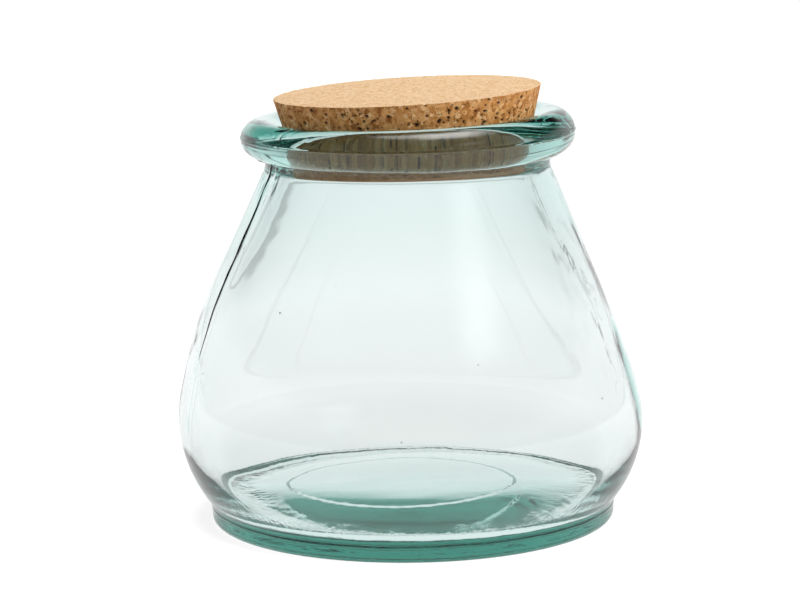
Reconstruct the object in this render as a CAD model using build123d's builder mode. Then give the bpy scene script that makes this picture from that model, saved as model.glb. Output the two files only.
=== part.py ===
"""A low, pear-shaped storage jar of thick recycled glass, closed by a tapered cork lid.

Two pieces. The jar is one revolved glass body: a foot, a round belly, a straight shoulder, a
short upright neck and a heavy doughnut-shaped rim. The blown wall thins from the neck down to
the belly. The floor is thick, and the underside is hollowed to a low cone inside a flat ring
that the jar stands on. The lid is a cone of agglomerated cork. It wedges in the rim a little
crookedly, with its left side pushed deeper.

Millimetres and degrees. The jar stands on Z = 0 with its axis on Z, and the front faces -Y.
"""

import os
from math import acos, atan2, cos, degrees, hypot, radians, sin, sqrt, tan

from build123d import *

# Mouth and rim
throat_radius = 50.1  # the narrowest part of the mouth
jar_height = 166.2  # table to the top of the rim
bead_width = 17.8  # the rim's section, across
bead_height = 16.4  # the rim's section, upright

# Outside of the jar, each size from the one above it
neck_wall = 7.8  # throat to the outside of the neck
neck_height = 2.3  # straight shoulder to the level of the rim's underside
belly_swell = 37.1  # the widest part of the belly beyond the neck
belly_height = 41.5  # of the widest part above the table
belly_upper_arc = 80.0  # radius of the curve from the belly into the shoulder
foot_inset = 12.5  # the foot inside the widest part of the belly
foot_height = 8.5
heel_radius = 4.0  # rounds the foot into the underside

# Glass
shoulder_wall = 6.0  # under the neck, thinning evenly down the straight shoulder
belly_wall = 2.6
floor_thickness = 16.0
push_up_radius = 47.6  # of the hollow in the underside
push_up_height = 4.5

# Narrow flats stand in for a round, so that the model stays light. Each takes this share of a turn.
rim_flat_share = 0.07
heel_flat_share = 0.125
inner_flat_share = 0.045

# Cork lid
lid_height = 29.0
lid_stand = 9.5  # of the middle of its top above the rim's top
lid_taper = 15.0  # of its side from upright
lid_tilt = 2.6  # its left side sits lower than its right
lid_edge_bevel = 0.6
seat_clearance = 0.2  # between the cork and the rim


def flats(centre, across, up, start, end, flat_share):
    """Evenly spaced points on an ellipse, from one angle to another."""
    count = max(1, round(abs(end - start) / 360 / flat_share))
    angles = [radians(start + (end - start) * step / count) for step in range(count + 1)]
    return [(centre[0] + across * cos(angle), centre[1] + up * sin(angle)) for angle in angles]


neck_radius = throat_radius + neck_wall
belly_radius = neck_radius + belly_swell
foot_radius = belly_radius - foot_inset
shoulder_height = jar_height - bead_height - neck_height

# Two arcs make the belly, upright where they meet. The lower one starts at the foot's top, and
# the upper one ends where the straight shoulder touches it.
belly_rise = belly_height - foot_height
belly_lower_arc = (foot_inset**2 + belly_rise**2) / (2 * foot_inset)
lower_centre = (belly_radius - belly_lower_arc, belly_height)
upper_centre = (belly_radius - belly_upper_arc, belly_height)
foot_angle = -degrees(atan2(belly_rise, belly_lower_arc - foot_inset))
neck_across = neck_radius - upper_centre[0]
neck_up = shoulder_height - belly_height
shoulder_lean = atan2(neck_up, neck_across) - acos(belly_upper_arc / hypot(neck_across, neck_up))

# The rim's section is an ellipse. It starts where the neck meets its underside, and ends at
# mid height inside, where the throat touches it.
bead_radius = throat_radius + bead_width / 2
bead_middle = jar_height - bead_height / 2
bead = (bead_radius, bead_middle)
neck_angle = -degrees(acos((neck_radius - bead_radius) / (bead_width / 2)))
rim = flats(bead, bead_width / 2, bead_height / 2, neck_angle, 180, rim_flat_share)

# The inside keeps the centres of the belly's arcs, one wall further in. Its straight shoulder
# runs on up to the throat, and its lower arc stops at the floor.
inner_lower_arc = belly_lower_arc - belly_wall
inner_upper_arc = belly_upper_arc - belly_wall
inner_upper = flats(
    upper_centre, inner_upper_arc, inner_upper_arc, degrees(shoulder_lean), 0, inner_flat_share
)
inner_neck_radius = neck_radius - shoulder_wall * cos(shoulder_lean)
inner_neck_height = shoulder_height - shoulder_wall * sin(shoulder_lean)
inner_slope = (inner_neck_height - inner_upper[0][1]) / (inner_upper[0][0] - inner_neck_radius)
throat_rise = (inner_upper[0][0] - throat_radius) * inner_slope
throat_bottom = (throat_radius, inner_upper[0][1] + throat_rise)
floor_drop = belly_height - floor_thickness
floor_angle = -degrees(atan2(floor_drop, sqrt(inner_lower_arc**2 - floor_drop**2)))
inner_lower = flats(
    lower_centre, inner_lower_arc, inner_lower_arc, 0, floor_angle, inner_flat_share
)
heel_centre = (foot_radius - heel_radius, heel_radius)
heel = flats(heel_centre, heel_radius, heel_radius, -90, 0, heel_flat_share)

# The cork's left and right sides lean by its taper plus and minus its tilt. Each keeps the
# seat's clearance to the rim's section, and that fixes the apex of the cone.
left_lean = radians(lid_taper + lid_tilt)
right_lean = radians(lid_taper - lid_tilt)


def seat_reach(lean):
    """Distance, level, from the middle of the rim's section to the cork side that leans so."""
    bead_support = hypot(bead_width / 2 * cos(lean), bead_height / 2 * sin(lean))
    return (bead_support + seat_clearance) / cos(lean)


apex_drop = 2 * bead_radius - seat_reach(left_lean) - seat_reach(right_lean)
apex_drop /= tan(left_lean) + tan(right_lean)
apex_shift = seat_reach(left_lean) - bead_radius + apex_drop * tan(left_lean)
lid_axis = Vector(-sin(radians(lid_tilt)), 0, cos(radians(lid_tilt)))
lid_right = Vector(cos(radians(lid_tilt)), 0, sin(radians(lid_tilt)))
apex = Vector(apex_shift, 0, bead_middle - apex_drop)
apex_to_top = (jar_height + lid_stand - apex.Z) / lid_axis.Z
lid_radius = apex_to_top * tan(radians(lid_taper))
lid_foot_radius = lid_radius - lid_height * tan(radians(lid_taper))
lid_section = Plane(origin=apex + lid_axis * apex_to_top, x_dir=lid_right, z_dir=(0, -1, 0))

# %% Glass jar
with BuildPart() as glass_jar:
    with BuildSketch(Plane.XZ):
        with BuildLine():
            foot = CenterArc(lower_centre, belly_lower_arc, foot_angle, -foot_angle) @ 0
            belly = CenterArc(upper_centre, belly_upper_arc, 0, degrees(shoulder_lean))
            Polyline(belly @ 1, (neck_radius, shoulder_height), *rim)
            Polyline(rim[-1], throat_bottom, *inner_upper, *inner_lower[1:], (0, floor_thickness))
            Polyline((0, floor_thickness), (0, push_up_height), (push_up_radius, 0), *heel, foot)
        make_face()
    revolve(axis=Axis.Z)

# %% Cork lid
with BuildPart() as cork_lid:
    with BuildSketch(lid_section) as half_lid:
        Polygon((0, 0), (lid_radius, 0), (lid_foot_radius, -lid_height), (0, -lid_height), align=None)
        chamfer(half_lid.vertices().filter_by(lambda corner: corner.X > 0), lid_edge_bevel)
    revolve(axis=Axis(lid_section.origin, lid_axis))

os.makedirs("parts", exist_ok=True)
glass_jar.part.label = "glass_jar"
cork_lid.part.label = "cork_lid"
export_step(glass_jar.part, "parts/glass_jar.step")
export_step(cork_lid.part, "parts/cork_lid.step")
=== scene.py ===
import math

import bpy
import numpy as np
from mathutils import Matrix, Vector, noise


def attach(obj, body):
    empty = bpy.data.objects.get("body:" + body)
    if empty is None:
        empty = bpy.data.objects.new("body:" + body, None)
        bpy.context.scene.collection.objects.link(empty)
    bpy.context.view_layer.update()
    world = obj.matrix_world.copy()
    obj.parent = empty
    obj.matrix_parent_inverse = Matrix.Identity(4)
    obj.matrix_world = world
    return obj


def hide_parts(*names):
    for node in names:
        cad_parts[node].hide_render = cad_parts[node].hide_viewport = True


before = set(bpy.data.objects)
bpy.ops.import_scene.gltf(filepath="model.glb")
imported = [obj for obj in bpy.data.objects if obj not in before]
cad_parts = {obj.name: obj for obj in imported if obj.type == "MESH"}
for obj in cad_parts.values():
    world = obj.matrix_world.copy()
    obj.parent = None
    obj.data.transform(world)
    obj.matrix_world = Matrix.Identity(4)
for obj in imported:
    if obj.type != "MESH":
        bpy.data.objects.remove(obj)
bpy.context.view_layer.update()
mm = 0.001
print("frame loaded:", sorted(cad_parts))

# A Mix node's sockets share their names, so they go by number here.
numberA, numberB, numberOut = 2, 3, 0
colourA, colourB, colourOut = 6, 7, 2


def srgb(hexColour):
    # "#rrggbb" to linear light, with full alpha
    channels = [int(hexColour[i:i + 2], 16) / 255 for i in (1, 3, 5)]
    linear = [c / 12.92 if c <= 0.04045 else ((c + 0.055) / 1.055) ** 2.4 for c in channels]
    return (*linear, 1.0)


def addNode(tree, kind, settings=None, links=None):
    # settings are socket values or node properties, links are the sockets that feed it
    node = tree.nodes.new(kind)
    for name, value in (settings or {}).items():
        if isinstance(name, int) or name in node.inputs:
            node.inputs[name].default_value = value
        else:
            setattr(node, name, value)
    for name, source in (links or {}).items():
        tree.links.new(source, node.inputs[name])
    return node


def newMaterial(name):
    material = bpy.data.materials.new(name)
    material.use_nodes = True
    material.node_tree.nodes.clear()
    return material, material.node_tree


def meshObject(name, points, faces, material):
    mesh = bpy.data.meshes.new(name)
    mesh.from_pydata([tuple(p) for p in points], [], faces)
    mesh.validate()
    mesh.shade_smooth()
    mesh.materials.append(material)
    piece = bpy.data.objects.new(name, mesh)
    bpy.context.scene.collection.objects.link(piece)
    return piece


# Outlines are lists of (radius, height) points, in millimetres like the CAD model's sizes.
def arc(centre, radii, start, end, steps):
    turn = np.radians(np.linspace(start, end, steps))
    return np.column_stack([centre[0] + radii[0] * np.cos(turn), centre[1] + radii[1] * np.sin(turn)])


def line(start, end, step=0.5):
    count = max(2, int(math.dist(start, end) / step))
    return np.linspace(start, end, count)


def along(path):
    # distance from a path's start to each of its points
    return np.concatenate([[0], np.cumsum(np.linalg.norm(np.diff(path, axis=0), axis=1))])


def cutPath(path, start, end):
    # the stretch of a path between two distances from its start
    run = along(path)
    inside = path[(run > start) & (run < end)]
    ends = [[np.interp(d, run, path[:, k]) for k in (0, 1)] for d in (start, end)]
    return np.vstack([ends[0], inside, ends[1]])


def softJoin(first, second, reach, steps=16):
    # joins two paths by a curve that leaves each one at a given reach from their corner
    before = cutPath(first, 0, along(first)[-1] - reach)
    after = cutPath(second, reach, along(second)[-1])
    t = np.linspace(0, 1, steps)[1:-1, None]
    bend = (1 - t) ** 2 * before[-1] + 2 * t * (1 - t) * first[-1] + t ** 2 * after[0]
    return np.vstack([before, bend, after])


def rightOf(path):
    # unit directions to the right of a path, at each of its points
    heading = np.gradient(path, axis=0)
    heading /= np.linalg.norm(heading, axis=1)[:, None]
    return np.column_stack([heading[:, 1], -heading[:, 0]])


def bump(value, middle, reach):
    # 1 at the middle, falling off smoothly to both sides
    return np.exp(-((value - middle) / reach) ** 2)


def ramp(value, low, high):
    # 0 below low, 1 above high, smooth between
    share = np.clip((value - low) / (high - low), 0, 1)
    return share * share * (3 - 2 * share)


def addedUp(density, places):
    # running total of a density over its places
    return np.concatenate([[0], np.cumsum((density[1:] + density[:-1]) / 2 * np.diff(places))])


def around(radius, turn, height):
    # points in space, from their place on an outline and their turn about the axis
    return np.column_stack([radius * np.cos(turn), radius * np.sin(turn), height])


def degreesFrom(turn, middle):
    # angle in degrees to a direction round the axis, from -180 to 180
    return (np.degrees(turn) - middle + 180) % 360 - 180


def lumps(points, layer, further=0):
    # one layer of smooth unevenness over points in millimetres; each seed looks elsewhere in the noise
    depth, size, seed = layer
    seedStep = (17.3, 7.1, 3.7)
    shift = Vector([step * (seed + further) for step in seedStep])
    return depth * np.array([noise.noise(Vector(point) / size + shift) for point in points])


def ringFaces(rings, segments, fromTop=False):
    # faces of a round body: rings of points between a single first point and a single last one
    here = 1 + np.arange(rings * segments).reshape(rings, segments)
    after = np.roll(here, -1, axis=1)
    last = rings * segments + 1
    corners = [here[:-1], after[:-1], after[1:], here[1:]]
    caps = [(0, b, a) for a, b in zip(here[0].tolist(), after[0].tolist())]
    caps += [(last, a, b) for a, b in zip(here[-1].tolist(), after[-1].tolist())]
    if fromTop:
        corners = [corners[0], *corners[:0:-1]]
        caps = [(pole, b, a) for pole, a, b in caps]
    return np.stack(corners, axis=2).reshape(-1, 4).tolist() + caps


# Glass jar, in millimetres and degrees. A fade is the two heights or radii between which something comes
# in or goes out. A layer of unevenness is its depth, the size of its lumps and its seed.
jar = {
    "height": 166.2,
    "bellyRadius": 95.2, "bellyHeight": 41.6, "bellyArc": 51.0, "bellyFrom": -55.0, "bellyTurn": 13.4,
    "shoulderArc": 276.5, "shoulderTurn": 24.0, "shoulderRun": 130.0,
    "footRadius": 82.9, "footHeight": 8.5, "heelReach": 3.4, "heelSlack": 0.2, "creaseReach": 1.6,
    "neckRadius": 57.9, "neckCreaseReach": 1.6,
    "beadRadius": 59.0, "beadWidth": 17.8, "beadHeight": 16.4,
    # the wall's thickness
    "neckWall": 6.0, "bellyWall": 2.6, "heelWall": 4.2,
    "neckWallFade": (72.0, 150.0), "heelWallFade": (6.0, 34.0), "throatEdgeReach": 3.0,
    # the floor inside and the shallow hollow underneath, neither quite in the middle
    "floorEdge": 9.7, "floorMiddle": 13.7, "floorReach": 72.5, "floorPower": 3.0, "floorCornerReach": 5.0,
    "floorShift": 3.0, "floorShiftFade": (73.0, 81.0), "floorBelow": 20.0,
    "hollowRadius": 47.4, "hollowHeight": 0.8, "hollowEdge": 1.3,
    "hollowShift": (-4.8, 8.0), "hollowShiftFade": (50.0, 72.0),
    # the body's lean and the rim's uneven height
    "skew": 2.0, "skewHeight": 88.0, "skewReach": 40.0,
    "rimRise": 1.45, "rimLift": 0.25, "rimLiftFade": (149.0, 166.0),
    # waves of the outer wall, calmer away from the seams
    "outerWave": (0.25, 34.0, 7), "outerRipple": (0.07, 11.0, 8),
    "outerFadeIn": (22.0, 55.0), "outerFadeOut": (146.0, 151.0),
    "evenShare": 0.15, "unevenSides": [(190, 0.8), (10, 0.9)], "unevenReach": 28.0,
    "rimFrom": 148.0, "rimWave": (0.35, 16.0, 9), "rimWaveFade": (53.0, 60.0),
    "footWave": (0.16, 18.0, 10), "footRipple": (0.05, 4.0, 11),
    "footFadeIn": (0.0, 3.0), "footFadeOut": (12.0, 24.0),
    # drawn-out creases on the right of the front
    "creases": (0.12, 4.2, 57), "creaseStretch": 0.3, "creaseBelow": 150.0,
    "creaseTurn": 328.0, "creaseSpread": 12.0, "creaseMiddle": 92.0, "creaseHigh": 34.0,
    # waves of the inner wall, and the rough corner between it and the floor
    "innerWave": (0.35, 30.0, 12), "innerRipple": (0.08, 8.0, 13),
    "innerTop": 148.0, "innerTopFade": 12.0, "innerCalmShare": 0.2, "innerCalmFade": (24.0, 60.0),
    "cornerGrain": (0.28, 2.2, 14), "cornerWave": (0.35, 9.0, 19),
    "cornerBelow": 22.0, "cornerRadius": 73.0, "cornerSpread": 4.0,
    # the ring that it stands on, and the wandering edge of the hollow
    "ringGrain": (0.05, 3.0, 16), "ringFade": (52.0, 60.0),
    "edgeGrain": (0.30, 1.1, 15), "edgeFrom": 42.0, "edgeInset": 0.6, "edgeSpread": 0.9,
    "edgeWander": (0.3, 7.0, 18), "edgeFineWander": (0.25, 2.5, 20), "edgeWanderSpread": 4.0,
    "hollowWave": (0.03, 14.0, 17), "hollowWaveFade": (40.0, 45.0),
    # two mould seams: a thin ridge, a pulled groove beside it, and wrinkles under the bead
    "seamTurns": (200.0, 20.0), "seamHeight": 0.45, "seamWidth": 0.6,
    "seamReach": 14.0, "seamSpan": (9.0, 151.0),
    "seamLowShare": 0.25, "seamLowFade": (30.0, 55.0), "seamHighFade": (60.0, 110.0),
    "seamDrift": (1.3, 16.0, 27), "seamBreaks": (0.5, 5.0, 37), "seamWhole": 0.75,
    "pullShare": 0.3, "pullAway": 3.2, "pullWidth": 2.6,
    "wrinkles": (0.34, 3.0, 47), "wrinkleStretch": 0.45, "wrinklesFrom": (128.0, 138.0),
    "wrinkleAway": (2.0, 8.0), "wrinkleHeights": (143.0, 9.0),
    # parting lines of the bead and the foot, and one small fold across the bead
    "partingHeight": 158.7, "partingRidge": 0.25, "partingWidth": 0.4,
    "partingReach": 2.5, "partingFrom": 62.0, "partingSway": 0.35, "partingSwayTurn": 0.8,
    "footLineHeight": 6.6, "footLineRidge": 0.22, "footLineWidth": 0.45, "footLineDrift": (0.3, 14.0, 21),
    "foldTurn": 234.0, "foldRidge": 0.30, "foldWidth": 0.5, "foldAbove": 157.0, "foldFrom": 58.0,
    # air bubbles in the wall, each at a direction round the axis and a height
    "seedPlaces": [
        (-92.0, 50.8), (-128.0, 96.0), (-34.0, 58.0), (-156.0, 64.0),
        (20.0, 74.0), (71.0, 47.0), (112.0, 88.0), (164.0, 55.0),
    ],
    "seedSmall": 0.22, "seedLarge": 0.42, "seedSteps": 9, "seedRounds": 14, "seedDraw": 7,
    # points of the mesh: how far extra ones reach round fine detail, and how many more there are per mm
    "pointStep": 2.0, "bendShare": 6.0,
    "partingPoints": (1.2, 4.0), "edgePoints": (1.6, 4.5), "footLinePoints": (1.4, 3.5),
    "cornerPlace": (76.0, 12.0), "cornerPoints": (8.0, 0.6),
    "ringPlace": (73.0, 0.0), "ringPoints": (6.0, 1.2),
    "segments": 330, "seamSegments": 55, "seamSegmentReach": 3.5,
}


def bellyWall():
    # belly arc, long shoulder arc and straight shoulder of the outside
    low, high = math.radians(jar["bellyTurn"]), math.radians(jar["shoulderTurn"])
    bellyCentre = (jar["bellyRadius"] - jar["bellyArc"], jar["bellyHeight"])
    apart = jar["shoulderArc"] - jar["bellyArc"]
    longCentre = (bellyCentre[0] - apart * math.cos(low), bellyCentre[1] - apart * math.sin(low))
    lower = arc(bellyCentre, (jar["bellyArc"],) * 2, jar["bellyFrom"], jar["bellyTurn"], steps=80)
    upper = arc(longCentre, (jar["shoulderArc"],) * 2, jar["bellyTurn"], jar["shoulderTurn"], steps=60)
    run = jar["shoulderRun"]
    tip = (upper[-1][0] - run * math.sin(high), upper[-1][1] + run * math.cos(high))
    return np.vstack([lower, upper[1:], line(upper[-1], tip)[1:]])


def innerWall(outer):
    # the glass is thick at the neck and blown thin at the belly
    neckShare = ramp(outer[:, 1], *jar["neckWallFade"])
    thickness = jar["bellyWall"] + (jar["neckWall"] - jar["bellyWall"]) * neckShare
    thickness += (jar["heelWall"] - jar["bellyWall"]) * (1 - ramp(outer[:, 1], *jar["heelWallFade"]))
    return outer - rightOf(outer) * thickness[:, None]


def startAt(path, height):
    # the path from a height up
    start = np.interp(height, path[:, 1], along(path))
    return cutPath(path, start, along(path)[-1])


def endAtRadius(path, radius):
    # the path up to where it has come in to a radius
    widest = int(np.argmax(path[:, 0]))
    return cutPath(path, 0, np.interp(-radius, -path[widest:, 0], along(path)[widest:]))


def jarOutline():
    # the whole closed outline, from the middle of the underside round to the middle of the floor
    beadRadii = (jar["beadWidth"] / 2, jar["beadHeight"] / 2)
    beadMiddle = (jar["beadRadius"], jar["height"] - beadRadii[1])
    throatRadius = jar["beadRadius"] - beadRadii[0]
    neckTurn = math.acos((jar["neckRadius"] - beadMiddle[0]) / beadRadii[0])
    neckTop = (jar["neckRadius"], beadMiddle[1] - beadRadii[1] * math.sin(neckTurn))

    away = np.linspace(0, jar["hollowRadius"], num=150)
    edge = ramp(away, jar["hollowRadius"] - jar["hollowEdge"], jar["hollowRadius"])
    hollow = np.column_stack([away, jar["hollowHeight"] * (1 - edge)])
    ring = line(hollow[-1], (jar["footRadius"], 0))
    foot = line((jar["footRadius"], 0), (jar["footRadius"], jar["footHeight"]))
    wall = bellyWall()
    belly = endAtRadius(startAt(wall, jar["footHeight"]), jar["neckRadius"])
    belly[0] = foot[-1]
    neck = line(belly[-1], neckTop)
    bead = arc(beadMiddle, beadRadii, -math.degrees(neckTurn), 180, steps=96)
    inner = endAtRadius(startAt(innerWall(wall), jar["floorEdge"]), throatRadius)
    throat = line(bead[-1], inner[-1])
    inner = inner[::-1]
    away = np.linspace(jar["floorReach"], 0, num=80)
    fall = (jar["floorMiddle"] - jar["floorEdge"]) * (away / jar["floorReach"]) ** jar["floorPower"]
    dome = np.column_stack([away, jar["floorMiddle"] - fall])
    floor = np.vstack([line(inner[-1], dome[0]), dome[1:]])

    outline = softJoin(np.vstack([hollow, ring[1:]]), foot, jar["heelReach"])
    outline = softJoin(outline, belly, jar["creaseReach"])
    outline = softJoin(outline, neck, jar["neckCreaseReach"])
    outline = softJoin(outline, bead, jar["neckCreaseReach"])
    outline = np.vstack([outline, throat[1:]])
    outline = softJoin(outline, inner, jar["throatEdgeReach"])
    return softJoin(outline, floor, jar["floorCornerReach"])


def evenPoints(path, extra, steps=8000, blur=120):
    # fewer points on straight stretches, more where the outline bends and near the extra places
    run = along(path)
    fine = np.linspace(0, run[-1], steps)
    points = np.column_stack([np.interp(fine, run, path[:, k]) for k in (0, 1)])
    heading = np.unwrap(np.arctan2(*np.gradient(points, axis=0).T[::-1]))
    density = 1 / jar["pointStep"] + jar["bendShare"] * np.abs(np.gradient(heading, fine))
    density = np.convolve(density, np.ones(blur) / blur, mode="same")
    for radius, height, reach, peak in extra:
        density += peak * bump(np.hypot(points[:, 0] - radius, points[:, 1] - height), 0, reach)
    total = addedUp(density, fine)
    picks = np.interp(np.linspace(0, total[-1], int(total[-1])), total, fine)
    return np.column_stack([np.interp(picks, fine, points[:, k]) for k in (0, 1)])


def unevenTurns(steps=14401):
    # segments round the axis, closer together along the two mould seams
    fine = np.linspace(0, 360, steps)
    density = np.full(fine.shape, jar["segments"] / 360)
    reach = jar["seamSegmentReach"]
    for seam in jar["seamTurns"]:
        away = (fine - seam + 180) % 360 - 180
        density += jar["seamSegments"] / reach / math.sqrt(math.pi) * bump(away, 0, reach)
    total = addedUp(density, fine)
    count = int(total[-1])
    return np.radians(np.interp(np.arange(count) * total[-1] / count, total, fine))


def unevenAt(turn):
    # how wavy the walls are in each direction round the axis
    reach = jar["unevenReach"]
    sides = [share * bump(degreesFrom(turn, middle), 0, reach) for middle, share in jar["unevenSides"]]
    return jar["evenShare"] + sum(sides)


def addSeams(relief, points, radius, height, turn):
    # each seam is one broken ridge up the wall, with the glass drawn in beside it
    for number, seam in enumerate(jar["seamTurns"]):
        away = degreesFrom(turn, seam) * np.pi / 180 * radius
        low, high = jar["seamSpan"]
        near = (np.abs(away) < jar["seamReach"]) & (height > low) & (height < high)
        upwards = height[near, None] * [1, 0, 0]
        drift = lumps(upwards, jar["seamDrift"], number)
        lowShare = jar["seamLowShare"]
        strength = lowShare * ramp(height[near], *jar["seamLowFade"])
        strength = strength + (1 - lowShare) * ramp(height[near], *jar["seamHighFade"])
        broken = jar["seamWhole"] + lumps(upwards, jar["seamBreaks"], number)
        relief[near] += jar["seamHeight"] * strength * broken * bump(away[near], drift, jar["seamWidth"])
        groove = bump(away[near], drift + jar["pullAway"], jar["pullWidth"])
        relief[near] -= jar["pullShare"] * jar["seamHeight"] * strength * groove
        wrinkled = near & (height > jar["wrinklesFrom"][number])
        wrinkles = lumps(points[wrinkled] * [1, 1, jar["wrinkleStretch"]], jar["wrinkles"])
        wrinkles = wrinkles * bump(away[wrinkled], *jar["wrinkleAway"])
        relief[wrinkled] += wrinkles * bump(height[wrinkled], *jar["wrinkleHeights"])


def outerRelief(points, radius, height, turn):
    # how far each point of the outside stands proud of the outline
    body = ramp(height, *jar["outerFadeIn"]) * (1 - ramp(height, *jar["outerFadeOut"]))
    relief = (lumps(points, jar["outerWave"]) + lumps(points, jar["outerRipple"])) * unevenAt(turn) * body
    rim = height > jar["rimFrom"]
    relief[rim] += lumps(points[rim], jar["rimWave"]) * ramp(radius[rim], *jar["rimWaveFade"])
    foot = height < jar["footFadeOut"][1]
    footWaves = lumps(points[foot], jar["footWave"]) + lumps(points[foot], jar["footRipple"])
    footWaves = footWaves * (1 - ramp(height[foot], *jar["footFadeOut"]))
    relief[foot] += footWaves * ramp(height[foot], *jar["footFadeIn"])
    footLine = jar["footLineHeight"] + lumps(points[foot], jar["footLineDrift"])
    relief[foot] += jar["footLineRidge"] * bump(height[foot], footLine, jar["footLineWidth"])

    creased = np.abs(height - jar["creaseMiddle"]) < 2 * jar["creaseHigh"]
    creased = creased & (height < jar["creaseBelow"])
    creases = lumps(points[creased] * [1, 1, jar["creaseStretch"]], jar["creases"])
    creases = creases * bump(degreesFrom(turn[creased], jar["creaseTurn"]), 0, jar["creaseSpread"])
    relief[creased] += creases * bump(height[creased], jar["creaseMiddle"], jar["creaseHigh"])
    addSeams(relief, points, radius, height, turn)

    parting = jar["partingHeight"] + jar["partingSway"] * np.sin(turn * 2 + jar["partingSwayTurn"])
    onBead = (np.abs(height - parting) < jar["partingReach"]) & (radius > jar["partingFrom"])
    relief[onBead] += jar["partingRidge"] * bump(height[onBead], parting[onBead], jar["partingWidth"])
    fold = (height > jar["foldAbove"]) & (radius > jar["foldFrom"])
    away = degreesFrom(turn[fold], jar["foldTurn"]) * np.pi / 180 * radius[fold]
    relief[fold] += jar["foldRidge"] * bump(away, 0, jar["foldWidth"])
    return relief


def innerRelief(points, radius, height, turn):
    # how far each point inside the jar stands proud of the outline
    relief = np.zeros(len(points))
    inner = height < jar["innerTop"]
    calm = jar["innerCalmShare"]
    calm = unevenAt(turn[inner]) * (calm + (1 - calm) * ramp(height[inner], *jar["innerCalmFade"]))
    waves = lumps(points[inner], jar["innerWave"])
    relief[inner] += waves * ramp(jar["innerTop"] - height[inner], 0, jar["innerTopFade"]) * calm
    relief[inner] += lumps(points[inner], jar["innerRipple"]) * calm
    corner = height < jar["cornerBelow"]
    rough = lumps(points[corner], jar["cornerGrain"]) + lumps(points[corner], jar["cornerWave"])
    relief[corner] += rough * bump(radius[corner], jar["cornerRadius"], jar["cornerSpread"])
    return relief


def undersideRelief(points, radius):
    # how far each point underneath stands proud of the outline
    relief = np.zeros(len(points))
    edge = radius > jar["edgeFrom"]
    inset = jar["hollowRadius"] - jar["edgeInset"]
    relief[edge] += lumps(points[edge], jar["edgeGrain"]) * bump(radius[edge], inset, jar["edgeSpread"])
    relief[edge] -= np.abs(lumps(points[edge], jar["ringGrain"])) * ramp(radius[edge], *jar["ringFade"])
    hollow = radius < jar["hollowWaveFade"][1]
    fade = 1 - ramp(radius[hollow], *jar["hollowWaveFade"])
    relief[hollow] += lumps(points[hollow], jar["hollowWave"]) * fade
    return relief


def leanAt(height):
    # how far the hand-blown body leans to the left
    return -jar["skew"] * bump(height, jar["skewHeight"], jar["skewReach"])


def jarMesh():
    outline = evenPoints(jarOutline(), [
        (jar["beadRadius"] + jar["beadWidth"] / 2, jar["partingHeight"], *jar["partingPoints"]),
        (jar["hollowRadius"] - jar["hollowEdge"] / 2, jar["hollowHeight"] / 2, *jar["edgePoints"]),
        (jar["footRadius"], jar["footLineHeight"], *jar["footLinePoints"]),
        (*jar["cornerPlace"], *jar["cornerPoints"]),
        (*jar["ringPlace"], *jar["ringPoints"]),
    ])
    turns = unevenTurns()
    rings, segments = len(outline) - 2, len(turns)
    top = int(np.argmax(outline[:, 1]))
    footStart = int(np.argmax(outline[:, 0] > jar["footRadius"] - jar["heelReach"] - jar["heelSlack"]))
    index = np.repeat(np.arange(1, rings + 1), segments)
    turn = np.tile(turns, rings)
    radius, height = outline[index, 0], outline[index, 1]
    outward = rightOf(outline)[index]
    points = around(radius, turn, height)

    # the hand-finished glass departs from its outline
    under, inside = index < footStart, index >= top
    wall = ~under & ~inside
    relief = np.zeros(len(points))
    relief[wall] = outerRelief(points[wall], radius[wall], height[wall], turn[wall])
    relief[inside] = innerRelief(points[inside], radius[inside], height[inside], turn[inside])
    relief[under] = undersideRelief(points[under], radius[under])
    radius = radius + outward[:, 0] * relief
    wander = lumps(points, jar["edgeWander"]) + lumps(points, jar["edgeFineWander"])
    radius = radius + under * bump(radius, jar["hollowRadius"], jar["edgeWanderSpread"]) * wander
    height = np.maximum(height + outward[:, 1] * relief, 0)
    height = height + ramp(height, *jar["rimLiftFade"]) * (jar["rimLift"] + jar["rimRise"] * np.cos(turn))

    middles = np.array(jar["hollowShift"]) * ((1 - ramp(radius, *jar["hollowShiftFade"])) * under)[:, None]
    onFloor = (index > top) & (height < jar["floorBelow"])
    middles[:, 0] += jar["floorShift"] * (1 - ramp(radius, *jar["floorShiftFade"])) * onFloor
    points = around(radius, turn, height)
    points[:, 0] += leanAt(height)
    points[:, :2] += middles
    underMiddle = [*jar["hollowShift"], outline[0][1]]
    floorMiddle = [jar["floorShift"], 0, outline[-1][1]]
    print("jar mesh:", rings, "rings of", segments)
    return np.vstack([underMiddle, points, floorMiddle]), ringFaces(rings, segments)


def addSeeds(points, faces):
    # small round air bubbles in the middle of the wall, as recycled glass has them, facing inwards
    rng = np.random.default_rng(jar["seedDraw"])
    wall = bellyWall()
    steps, rounds = jar["seedSteps"], jar["seedRounds"]
    rises = np.repeat(math.pi * np.arange(1, steps) / steps, rounds)
    turns = np.tile(2 * math.pi * np.arange(rounds) / rounds, steps - 1)
    ball = np.vstack([[0, 0, 1], around(np.sin(rises), turns, np.cos(rises)), [0, 0, -1]])
    ballFaces = ringFaces(steps - 1, rounds)
    for direction, level in jar["seedPlaces"]:
        away = np.interp(level, wall[:, 1], wall[:, 0]) - jar["bellyWall"] / 2
        middle = around(away, math.radians(direction), level)[0] + [leanAt(level), 0, 0]
        size = jar["seedSmall"] + (jar["seedLarge"] - jar["seedSmall"]) * rng.random()
        faces.extend([[len(points) + corner for corner in face] for face in ballFaces])
        points = np.vstack([points, middle + size * ball])
    return points, faces


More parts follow.
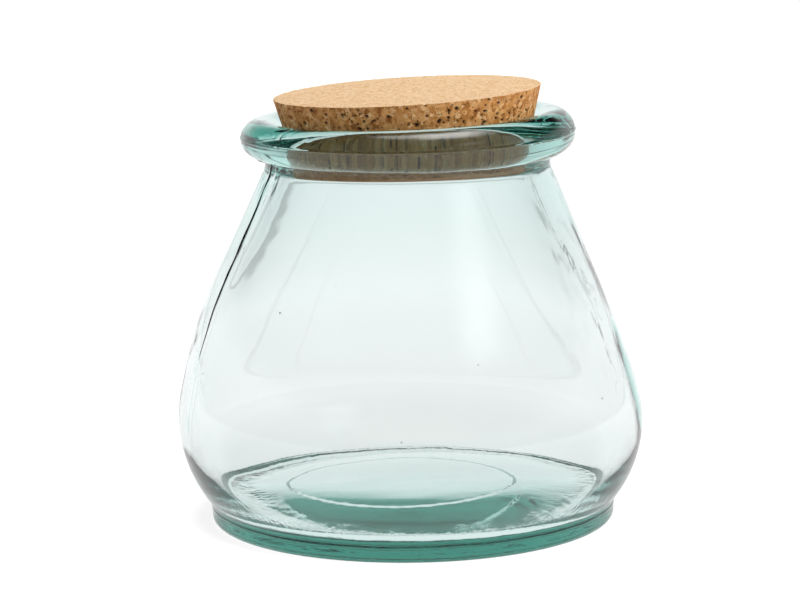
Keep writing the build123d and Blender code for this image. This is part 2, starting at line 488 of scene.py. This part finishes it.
# Recycled soda-lime glass, mould-blown: clear, green-blue in its depth, with a fire-polished surface that is
# rough only low down, where the mould chilled the floor's edge and the foot. Sizes in millimetres.
glassLook = {
    "tint": "#5fd1c6", "density": 22.0,
    "grainSize": 1.6, "grainDepth": 0.2, "polishedShare": 0.012, "chilledShare": 0.42,
    "chillFade": (65.0, 71.0), "chillTopFade": (13.0, 19.0),
}
glass, glassTree = newMaterial("mouldBlownRecycledGlass")
glassPlace = addNode(glassTree, "ShaderNodeTexCoord")
glassGrain = addNode(glassTree, "ShaderNodeTexNoise", {
    "Scale": 1 / (glassLook["grainSize"] * mm), "Detail": 3.0,
}, {"Vector": glassPlace.outputs["Object"]})
glassSplit = addNode(glassTree, "ShaderNodeSeparateXYZ", {}, {"Vector": glassPlace.outputs["Object"]})
glassFlat = addNode(glassTree, "ShaderNodeCombineXYZ", {}, {
    "X": glassSplit.outputs["X"], "Y": glassSplit.outputs["Y"],
})
glassAway = addNode(glassTree, "ShaderNodeVectorMath", {"operation": "LENGTH"}, {
    0: glassFlat.outputs["Vector"],
})
chillRing = addNode(glassTree, "ShaderNodeMapRange", {
    "interpolation_type": "SMOOTHSTEP",
    "From Min": glassLook["chillFade"][0] * mm, "From Max": glassLook["chillFade"][1] * mm,
}, {"Value": glassAway.outputs["Value"]})
chillLow = addNode(glassTree, "ShaderNodeMapRange", {
    "interpolation_type": "SMOOTHSTEP", "To Min": 1.0, "To Max": 0.0,
    "From Min": glassLook["chillTopFade"][0] * mm, "From Max": glassLook["chillTopFade"][1] * mm,
}, {"Value": glassSplit.outputs["Z"]})
chilled = addNode(glassTree, "ShaderNodeMath", {"operation": "MULTIPLY"}, {
    0: chillRing.outputs["Result"], 1: chillLow.outputs["Result"],
})
grainStrength = addNode(glassTree, "ShaderNodeMapRange", {
    "To Min": glassLook["polishedShare"], "To Max": glassLook["chilledShare"],
}, {"Value": chilled.outputs["Value"]})
glassBump = addNode(glassTree, "ShaderNodeBump", {"Distance": glassLook["grainDepth"] * mm}, {
    "Height": glassGrain.outputs["Fac"], "Strength": grainStrength.outputs["Result"],
})
glassShader = addNode(glassTree, "ShaderNodeBsdfPrincipled", {
    "Base Color": (1, 1, 1, 1), "Roughness": 0.0, "IOR": 1.52, "Transmission Weight": 1.0,
}, {"Normal": glassBump.outputs["Normal"]})
glassTint = addNode(glassTree, "ShaderNodeVolumeAbsorption", {
    "Color": srgb(glassLook["tint"]), "Density": glassLook["density"],
})
addNode(glassTree, "ShaderNodeOutputMaterial", {}, {
    "Surface": glassShader.outputs["BSDF"], "Volume": glassTint.outputs["Volume"],
})

jarPoints, jarFaces = addSeeds(*jarMesh())
jarPiece = meshObject("glassJar", jarPoints * mm, jarFaces, glass)
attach(jarPiece, "jar")
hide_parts("glass_jar")
print("glass jar done")

# Cork lid, in millimetres and degrees, with depths from its top. Fades and layers are given as above.
lid = {
    "topMiddle": (-0.1017, 0.0, 175.7), "tilt": 2.6, "topRadius": 54.3, "footRadius": 46.5, "height": 29.0,
    "edgeReach": 0.6, "topStep": 1.0, "sideStep": 0.4, "footStep": 1.5, "topFacing": 0.8,
    "sideFade": (0.2, 1.0), "sideEnd": 0.6,
    "granules": (0.09, 1.3, 11), "sandedShare": 0.35,
    "chips": (1.0, 2.2, 12), "chipDepth": 0.35, "chipFrom": 0.1, "chipReach": 1.6,
    # torn-out pits, shallower in the lower half, which rubs in the neck
    "pitCount": 900, "pitSmall": 0.28, "pitLarge": 0.85, "pitPower": 2.2, "pitDepth": 0.6,
    "pitStretch": 1.25, "pitMargin": 0.03, "pitEdge": (0.55, 1.1), "pitLumps": (0.35, 0.9, 13), "pitDraw": 11,
    "pitWorn": 0.5, "pitWornFade": (9.0, 18.0), "rubbedShadeFade": (8.0, 18.0),
}


def pitsAt(turn, radius, height, points):
    # how deep in a torn-out pit each point of the side lies, from 0 to 1
    rng = np.random.default_rng(lid["pitDraw"])
    count, margin = lid["pitCount"], lid["pitMargin"]
    places = rng.uniform(0, 2 * math.pi, count)
    levels = -lid["height"] * rng.uniform(margin, 1 - margin, count)
    sizes = lid["pitSmall"] + (lid["pitLarge"] - lid["pitSmall"]) * rng.random(count) ** lid["pitPower"]
    ragged = lumps(points, lid["pitLumps"])
    pit = np.zeros(len(points))
    for place, level, size in zip(places, levels, sizes):
        near = np.abs(height - level) < 2 * size
        across = ((turn[near] - place + math.pi) % (2 * math.pi) - math.pi) * radius[near]
        far = np.hypot(across / lid["pitStretch"], height[near] - level) / size + ragged[near]
        pit[near] = np.maximum(pit[near], 1 - ramp(far, *lid["pitEdge"]))
    return pit


def corkMesh():
    # a bevelled cone with granule relief and torn-out pits on its side, all in the lid's own axes
    top = line((0, 0), (lid["topRadius"], 0), lid["topStep"])
    side = line((lid["topRadius"], 0), (lid["footRadius"], -lid["height"]), lid["sideStep"])
    foot = line((lid["footRadius"], -lid["height"]), (0, -lid["height"]), lid["footStep"])
    outline = softJoin(softJoin(top, side, lid["edgeReach"]), foot, lid["edgeReach"])[1:-1]
    segments = int(2 * math.pi * lid["topRadius"] / lid["sideStep"])
    rings = len(outline)
    turn = np.tile(np.linspace(0, 2 * math.pi, segments, endpoint=False), rings)
    radius, height = np.repeat(outline[:, 0], segments), np.repeat(outline[:, 1], segments)
    points = around(radius, turn, height)
    outward = np.repeat(-rightOf(outline), segments, axis=0)

    sideness = ramp(-height, *lid["sideFade"])
    sideness = sideness * (1 - ramp(-height, lid["height"] - lid["sideEnd"], lid["height"]))
    sanded = lid["sandedShare"]
    relief = -np.abs(lumps(points, lid["granules"])) * (sanded + (1 - sanded) * sideness)
    edge = bump(np.hypot(radius - lid["topRadius"], height), 0, lid["chipReach"])
    relief -= lid["chipDepth"] * edge * np.clip(lumps(points, lid["chips"]) - lid["chipFrom"], 0, 1)
    pit = np.zeros(len(points))
    onSide = sideness > 0.5
    pit[onSide] = pitsAt(turn[onSide], radius[onSide], height[onSide], points[onSide])
    pit *= 1 - lid["pitWorn"] * ramp(-height, *lid["pitWornFade"])
    relief -= lid["pitDepth"] * pit
    # how far down the side each point lies, for the rubbed tone that also paints shade where the cork sits in
    # the neck
    rubbedShade = ramp(-height, *lid["rubbedShadeFade"])
    points = around(radius + outward[:, 0] * relief, turn, height + outward[:, 1] * relief)
    points = np.vstack([[0, 0, 0], points, [0, 0, -lid["height"]]])
    print("cork mesh:", rings, "rings of", segments)
    marks = {"pit": np.array([0, *pit, 0]), "rubbedShade": np.array([0, *rubbedShade, 1])}
    return points, ringFaces(rings, segments, fromTop=True), marks


def corkMaterial(name, look):
    # pressed cork granules: pale body, browner bark bits between them, torn-out pits painted dark as shade
    material, tree = newMaterial(name)
    granule = look["granule"] * mm
    bendShare, bendScale = 0.9, 1.3  # how far and how finely the granules' outlines are bent
    place = addNode(tree, "ShaderNodeTexCoord")
    wander = addNode(tree, "ShaderNodeTexNoise", {"Scale": bendScale / granule, "Detail": 3.0}, {
        "Vector": place.outputs["Object"],
    })
    shift = addNode(tree, "ShaderNodeVectorMath", {
        "operation": "MULTIPLY_ADD", 1: (granule * bendShare,) * 3,
    }, {0: wander.outputs["Color"], 2: place.outputs["Object"]})
    granules = addNode(tree, "ShaderNodeTexVoronoi", {"Scale": 1 / granule, "Randomness": 1.0}, {
        "Vector": shift.outputs["Vector"],
    })
    pick = addNode(tree, "ShaderNodeSeparateColor", {}, {"Color": granules.outputs["Color"]})
    tones = addNode(tree, "ShaderNodeValToRGB", {}, {"Fac": pick.outputs["Red"]})
    stops = tones.color_ramp.elements
    while len(stops) < len(look["tones"]):
        stops.new(0.5)
    for stop, (at, tone) in zip(stops, look["tones"]):
        stop.position, stop.color = at, srgb(tone)

    # the side's lower half, where it sits in the neck, is partly rubbed to one darker tone that is also
    # painted shade, and fine grain runs over everything
    rubbedShade = addNode(tree, "ShaderNodeAttribute", {"attribute_name": "rubbedShade"})
    wearShade = addNode(tree, "ShaderNodeMath", {"operation": "MULTIPLY", 1: look["wearShade"]}, {
        0: rubbedShade.outputs["Fac"],
    })
    wornShaded = addNode(tree, "ShaderNodeMix", {"data_type": "RGBA", colourB: srgb(look["wornShadeTone"])}, {
        "Factor": wearShade.outputs["Value"], colourA: tones.outputs["Color"],
    })
    grain = addNode(tree, "ShaderNodeTexNoise", {
        "Scale": 1 / (look["grainSize"] * mm), "Detail": 5.0, "Roughness": 0.65,
    }, {"Vector": place.outputs["Object"]})
    grainLevel = addNode(tree, "ShaderNodeMapRange", {
        "From Min": 0.3, "From Max": 0.7, "To Min": 1 - look["grain"], "To Max": 1 + look["grain"],
    }, {"Value": grain.outputs["Fac"]})
    grained = addNode(tree, "ShaderNodeVectorMath", {"operation": "SCALE"}, {
        0: wornShaded.outputs[colourOut], "Scale": grainLevel.outputs["Result"],
    })

    # bark flecks: a share of the cells, each only as large as the middle of its cell
    flecks = addNode(tree, "ShaderNodeTexVoronoi", {"Scale": 1 / (look["fleck"] * mm)}, {
        "Vector": shift.outputs["Vector"],
    })
    fleckPick = addNode(tree, "ShaderNodeSeparateColor", {}, {"Color": flecks.outputs["Color"]})
    fleckChosen = addNode(tree, "ShaderNodeMath", {"operation": "LESS_THAN", 1: look["fleckShare"]}, {
        0: fleckPick.outputs["Green"],
    })
    fleckSize = addNode(tree, "ShaderNodeMapRange", {
        "From Min": 0.25, "From Max": 0.42, "To Min": 1.0, "To Max": 0.0,
    }, {"Value": flecks.outputs["Distance"]})
    fleckShape = addNode(tree, "ShaderNodeMath", {"operation": "MULTIPLY"}, {
        0: fleckChosen.outputs["Value"], 1: fleckSize.outputs["Result"],
    })
    flecked = addNode(tree, "ShaderNodeMix", {"data_type": "RGBA", colourB: srgb(look["fleckTone"])}, {
        "Factor": fleckShape.outputs["Value"], colourA: grained.outputs["Vector"],
    })
    # painted shade: the torn-out pits are coloured nearly black
    pits = addNode(tree, "ShaderNodeAttribute", {"attribute_name": "pit"})
    pitShaded = addNode(tree, "ShaderNodeMix", {"data_type": "RGBA", colourB: srgb(look["pitShadeTone"])}, {
        "Factor": pits.outputs["Fac"], colourA: flecked.outputs[colourOut],
    })
    relief = addNode(tree, "ShaderNodeBump", {
        "Strength": look["relief"], "Distance": look["reliefDepth"] * mm,
    }, {"Height": grain.outputs["Fac"]})
    shader = addNode(tree, "ShaderNodeBsdfPrincipled", {"Roughness": 0.85, "Specular IOR Level": 0.3}, {
        "Base Color": pitShaded.outputs[colourOut], "Normal": relief.outputs["Normal"],
    })
    addNode(tree, "ShaderNodeOutputMaterial", {}, {"Surface": shader.outputs["BSDF"]})
    return material


# Agglomerated cork, matt all over: the top is sanded smooth and pale, the side is ground and coarser.
corkTop = corkMaterial("sandedCorkTop", {
    "granule": 1.3, "grainSize": 0.5, "grain": 0.14, "relief": 0.3, "reliefDepth": 0.3,
    "fleck": 1.2, "fleckShare": 0.22, "fleckTone": "#c07f45", "pitShadeTone": "#5a3a20",
    "wearShade": 0.0, "wornShadeTone": "#a97746",
    "tones": [(0.0, "#dcab74"), (0.3, "#e8c294"), (0.6, "#efd0a8"), (1.0, "#e6bc8a")],
})
corkSide = corkMaterial("groundCorkSide", {
    "granule": 1.7, "grainSize": 0.5, "grain": 0.28, "relief": 0.7, "reliefDepth": 0.3,
    "fleck": 1.1, "fleckShare": 0.15, "fleckTone": "#5a3418", "pitShadeTone": "#22130a",
    "wearShade": 0.45, "wornShadeTone": "#a97746",
    "tones": [(0.0, "#8c5526"), (0.25, "#b87f45"), (0.5, "#cf9a60"), (0.75, "#ad7038"), (1.0, "#dcb27f")],
})
corkPoints, corkFaces, corkMarks = corkMesh()
turned = np.array(Matrix.Rotation(math.radians(-lid["tilt"]), 3, "Y"))
corkPoints = corkPoints @ turned.T + np.array(lid["topMiddle"])
corkPiece = meshObject("corkLid", corkPoints * mm, corkFaces, corkTop)
corkPiece.data.materials.append(corkSide)
for label, values in corkMarks.items():
    mark = corkPiece.data.attributes.new(label, "FLOAT", "POINT")
    mark.data.foreach_set("value", values.astype(np.float32))
axisUp = Vector(turned[:, 2])
for face in corkPiece.data.polygons:
    face.material_index = 0 if face.normal.dot(axisUp) > lid["topFacing"] else 1
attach(corkPiece, "lid")
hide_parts("cork_lid")
print("cork lid done")

# Studio, in metres and degrees.
studio = {
    "cameraPlace": (0, -1.250, 0.3088), "cameraPitch": 80.06, "cameraYaw": 0.19, "cameraRoll": -0.86,
    "lens": 139.6, "aimHeight": 0.09,
    "floorSide": 24.0, "floorDrop": 0.0001, "floorWhite": 0.12,
    # the floor's glow as the camera sees it, and as the glass does, with a painted shade near the jar
    "floorSeen": 1.1, "floorNear": 0.85, "floorFar": 1.0, "nearReach": 0.1, "farReach": 0.9,
    # a painted pool of light: the floor's glow fades beyond a few metres
    "floorDim": 0.6, "dimReach": 3.2, "dimEnd": 5.0,
    # painted shade on the floor round the foot, a little more to the left and behind
    "shadeMiddle": (-0.007, 0.007, 0.0), "shadeReach": 0.079, "shadeEnd": 0.094, "shadeLevel": 0.88,
    # a painted glow on the floor under the foot, even and without the floor's diffuse white
    "underGlowReach": 0.079, "underGlowEnd": 0.0845, "underGlowLevel": 1.0,
    # the room's light in front, behind, at the sides and high up, and the elevations between which it fades
    "roomFront": 0.6, "roomBack": 1.0, "roomSide": 0.12, "roomSideLow": 0.7, "roomHigh": 0.05,
    "roomFade": (10, 26), "roomSideFade": (10, 20), "roomTurn": 0.3, "roomEnds": 0.95,
}
cameraData = bpy.data.cameras.new("camera")
cameraData.lens = studio["lens"]
cameraData.sensor_width = 36
camera = bpy.data.objects.new("camera", cameraData)
camera.matrix_world = (
    Matrix.Translation(studio["cameraPlace"])
    @ Matrix.Rotation(math.radians(studio["cameraYaw"]), 4, "Z")
    @ Matrix.Rotation(math.radians(studio["cameraPitch"]), 4, "X")
    @ Matrix.Rotation(math.radians(studio["cameraRoll"]), 4, "Z")
)
bpy.context.scene.collection.objects.link(camera)
bpy.context.scene.camera = camera

# The floor is a sheet of white acrylic lit from below. The camera sees it evenly white, with a faint painted
# shade beside the foot. The glass sees it with a painted shade, a little dimmer near the jar, and an even
# painted glow under the foot. Beyond a few metres its glow fades, as a painted pool of light.
paper, paperTree = newMaterial("litAcrylicWithPaintedLight")
paperPlace = addNode(paperTree, "ShaderNodeTexCoord")
paperAway = addNode(paperTree, "ShaderNodeVectorMath", {"operation": "LENGTH"}, {
    0: paperPlace.outputs["Object"],
})
# painted pool of light: full glow near the jar, fading beyond a few metres
paperDim = addNode(paperTree, "ShaderNodeMapRange", {
    "interpolation_type": "SMOOTHSTEP", "From Min": studio["dimReach"], "From Max": studio["dimEnd"],
    "To Min": 1.0, "To Max": studio["floorDim"],
}, {"Value": paperAway.outputs["Value"]})
# painted shade: the floor that the glass sees is dimmer near the jar and brighter further out
paperNearShade = addNode(paperTree, "ShaderNodeMapRange", {
    "From Min": studio["nearReach"], "From Max": studio["farReach"],
    "To Min": studio["floorNear"], "To Max": studio["floorFar"],
}, {"Value": paperAway.outputs["Value"]})
# painted shade: the floor that the camera sees is darker just round the foot, a little more to the left and
# behind
paperBeside = addNode(paperTree, "ShaderNodeVectorMath", {
    "operation": "DISTANCE", 1: studio["shadeMiddle"],
}, {0: paperPlace.outputs["Object"]})
paperShade = addNode(paperTree, "ShaderNodeMapRange", {
    "interpolation_type": "SMOOTHSTEP", "From Min": studio["shadeReach"], "From Max": studio["shadeEnd"],
    "To Min": studio["shadeLevel"], "To Max": studio["floorSeen"],
}, {"Value": paperBeside.outputs["Value"]})
paperRay = addNode(paperTree, "ShaderNodeLightPath")
paperLevel = addNode(paperTree, "ShaderNodeMix", {"data_type": "FLOAT"}, {
    "Factor": paperRay.outputs["Is Camera Ray"],
    numberA: paperNearShade.outputs["Result"], numberB: paperShade.outputs["Result"],
})
paperDimmed = addNode(paperTree, "ShaderNodeMath", {"operation": "MULTIPLY"}, {
    0: paperDim.outputs["Result"], 1: paperLevel.outputs[numberOut],
})
# painted glow: under the foot the floor has no diffuse white and glows evenly
paperUnderGlowEdge = addNode(paperTree, "ShaderNodeMapRange", {
    "interpolation_type": "SMOOTHSTEP", "From Min": studio["underGlowReach"], "From Max": studio["underGlowEnd"],
}, {"Value": paperAway.outputs["Value"]})
paperTone = addNode(paperTree, "ShaderNodeMath", {"operation": "MULTIPLY", 1: studio["floorWhite"]}, {
    0: paperUnderGlowEdge.outputs["Result"],
})
paperShader = addNode(paperTree, "ShaderNodeBsdfDiffuse", {}, {"Color": paperTone.outputs["Value"]})
paperUnderGlowMix = addNode(paperTree, "ShaderNodeMix", {"data_type": "FLOAT", numberA: studio["underGlowLevel"]}, {
    "Factor": paperUnderGlowEdge.outputs["Result"], numberB: paperDimmed.outputs["Value"],
})
paperGlow = addNode(paperTree, "ShaderNodeEmission", {"Color": (1, 1, 1, 1)}, {
    "Strength": paperUnderGlowMix.outputs[numberOut],
})
paperBoth = addNode(paperTree, "ShaderNodeAddShader", {}, {
    0: paperShader.outputs["BSDF"], 1: paperGlow.outputs["Emission"],
})
addNode(paperTree, "ShaderNodeOutputMaterial", {}, {"Surface": paperBoth.outputs["Shader"]})
half = studio["floorSide"] / 2
floorCorners = [(x * half, y * half, -studio["floorDrop"]) for x, y in ((-1, -1), (1, -1), (1, 1), (-1, 1))]
floor = meshObject("studioFloor", floorCorners, [(0, 1, 2, 3)], paper)

# Light panels that face the jar and fade out towards their edges, at azimuths from the camera's side.
softboxes = {
    "keyBox": {
        "azimuth": 46, "elevation": 33, "distance": 1.6, "size": (1.0, 0.65), "radiance": 1.35, "edge": 0.9,
    },
    "topFill": {
        "azimuth": 170, "elevation": 66, "distance": 1.7, "size": (1.6, 1.3), "radiance": 6.3, "edge": 0.5,
        "mirrored": False, "seenThrough": False,
    },
    "sideFill": {
        "azimuth": 70, "elevation": 24, "distance": 1.7, "size": (1.2, 0.9), "radiance": 11.0, "edge": 0.5,
        "mirrored": False, "seenThrough": False,
    },
    "rimBox": {
        "azimuth": 115, "elevation": 77, "distance": 1.8, "size": (2.0, 1.5), "radiance": 7.5, "edge": 0.9,
        "scattered": False, "seenThrough": False,
    },
}


def softbox(
    name, azimuth, elevation, distance, size, radiance, edge, scattered=True, mirrored=True, seenThrough=True,
):
    turn, rise = math.radians(azimuth), math.radians(elevation)
    place = Vector((math.sin(turn) * math.cos(rise), -math.cos(turn) * math.cos(rise), math.sin(rise)))
    data = bpy.data.lights.new(name, "AREA")
    data.shape = "RECTANGLE"
    data.size, data.size_y = size
    data.energy = radiance * size[0] * size[1] * math.pi
    data.use_nodes = True
    tree = data.node_tree
    tree.nodes.clear()
    middle = 0.5
    spot = addNode(tree, "ShaderNodeNewGeometry")
    split = addNode(tree, "ShaderNodeSeparateXYZ", {}, {"Vector": spot.outputs["Parametric"]})
    fades = []
    for axis in ("X", "Y"):
        away = addNode(tree, "ShaderNodeMath", {"operation": "SUBTRACT", 1: middle}, {0: split.outputs[axis]})
        reach = addNode(tree, "ShaderNodeMath", {"operation": "ABSOLUTE"}, {0: away.outputs["Value"]})
        fades.append(addNode(tree, "ShaderNodeMapRange", {
            "interpolation_type": "SMOOTHSTEP", "From Min": middle - edge / 2, "From Max": middle,
            "To Min": 1.0, "To Max": 0.0,
        }, {"Value": reach.outputs["Value"]}))
    both = addNode(tree, "ShaderNodeMath", {"operation": "MULTIPLY"}, {
        0: fades[0].outputs["Result"], 1: fades[1].outputs["Result"],
    })
    glow = addNode(tree, "ShaderNodeEmission", {}, {"Strength": both.outputs["Value"]})
    addNode(tree, "ShaderNodeOutputLight", {}, {"Surface": glow.outputs["Emission"]})
    panel = bpy.data.objects.new(name, data)
    panel.location = place * distance + Vector((0, 0, studio["aimHeight"]))
    panel.rotation_euler = place.to_track_quat("Z", "Y").to_euler()
    panel.visible_diffuse = scattered
    panel.visible_glossy = mirrored
    panel.visible_transmission = seenThrough
    bpy.context.scene.collection.objects.link(panel)


for name, box in softboxes.items():
    softbox(name, **box)


def sines(elevations):
    return [math.sin(math.radians(elevation)) for elevation in elevations]


# The room is pale near the horizon in front and behind, darker at the sides and dark higher up.
world = bpy.data.worlds.new("studioWorld")
bpy.context.scene.world = world
world.use_nodes = True
worldTree = world.node_tree
worldTree.nodes.clear()
worldPlace = addNode(worldTree, "ShaderNodeTexCoord")
worldSplit = addNode(worldTree, "ShaderNodeSeparateXYZ", {}, {"Vector": worldPlace.outputs["Generated"]})
worldEnds = addNode(worldTree, "ShaderNodeMapRange", {
    "From Min": -studio["roomTurn"], "From Max": studio["roomTurn"],
    "To Min": studio["roomFront"], "To Max": studio["roomBack"],
}, {"Value": worldSplit.outputs["Y"]})
worldAcross = addNode(worldTree, "ShaderNodeMath", {"operation": "ABSOLUTE"}, {0: worldSplit.outputs["Y"]})
sideLow, sideHigh = sines(studio["roomSideFade"])
worldLow = addNode(worldTree, "ShaderNodeMapRange", {
    "interpolation_type": "SMOOTHSTEP", "From Min": sideLow, "From Max": sideHigh,
    "To Min": studio["roomSideLow"], "To Max": studio["roomSide"],
}, {"Value": worldSplit.outputs["Z"]})
worldSides = addNode(worldTree, "ShaderNodeMapRange", {
    "interpolation_type": "SMOOTHSTEP", "From Min": studio["roomTurn"], "From Max": studio["roomEnds"],
}, {
    "Value": worldAcross.outputs["Value"],
    "To Min": worldLow.outputs["Result"], "To Max": worldEnds.outputs["Result"],
})
fadeLow, fadeHigh = sines(studio["roomFade"])
worldBand = addNode(worldTree, "ShaderNodeMapRange", {
    "interpolation_type": "SMOOTHSTEP", "From Min": fadeLow, "From Max": fadeHigh,
    "To Max": studio["roomHigh"],
}, {"Value": worldSplit.outputs["Z"], "To Min": worldSides.outputs["Result"]})
worldLight = addNode(worldTree, "ShaderNodeBackground", {"Color": (1, 1, 1, 1)}, {
    "Strength": worldBand.outputs["Result"],
})
addNode(worldTree, "ShaderNodeOutputWorld", {}, {"Surface": worldLight.outputs["Background"]})

scene = bpy.context.scene
scene.view_settings.view_transform = "Standard"
scene.cycles.use_denoising = True
scene.cycles.max_bounces = 32
scene.cycles.transmission_bounces = 32
scene.cycles.glossy_bounces = 16
scene.cycles.diffuse_bounces = 6
scene.cycles.sample_clamp_indirect = 4
print("studio done")
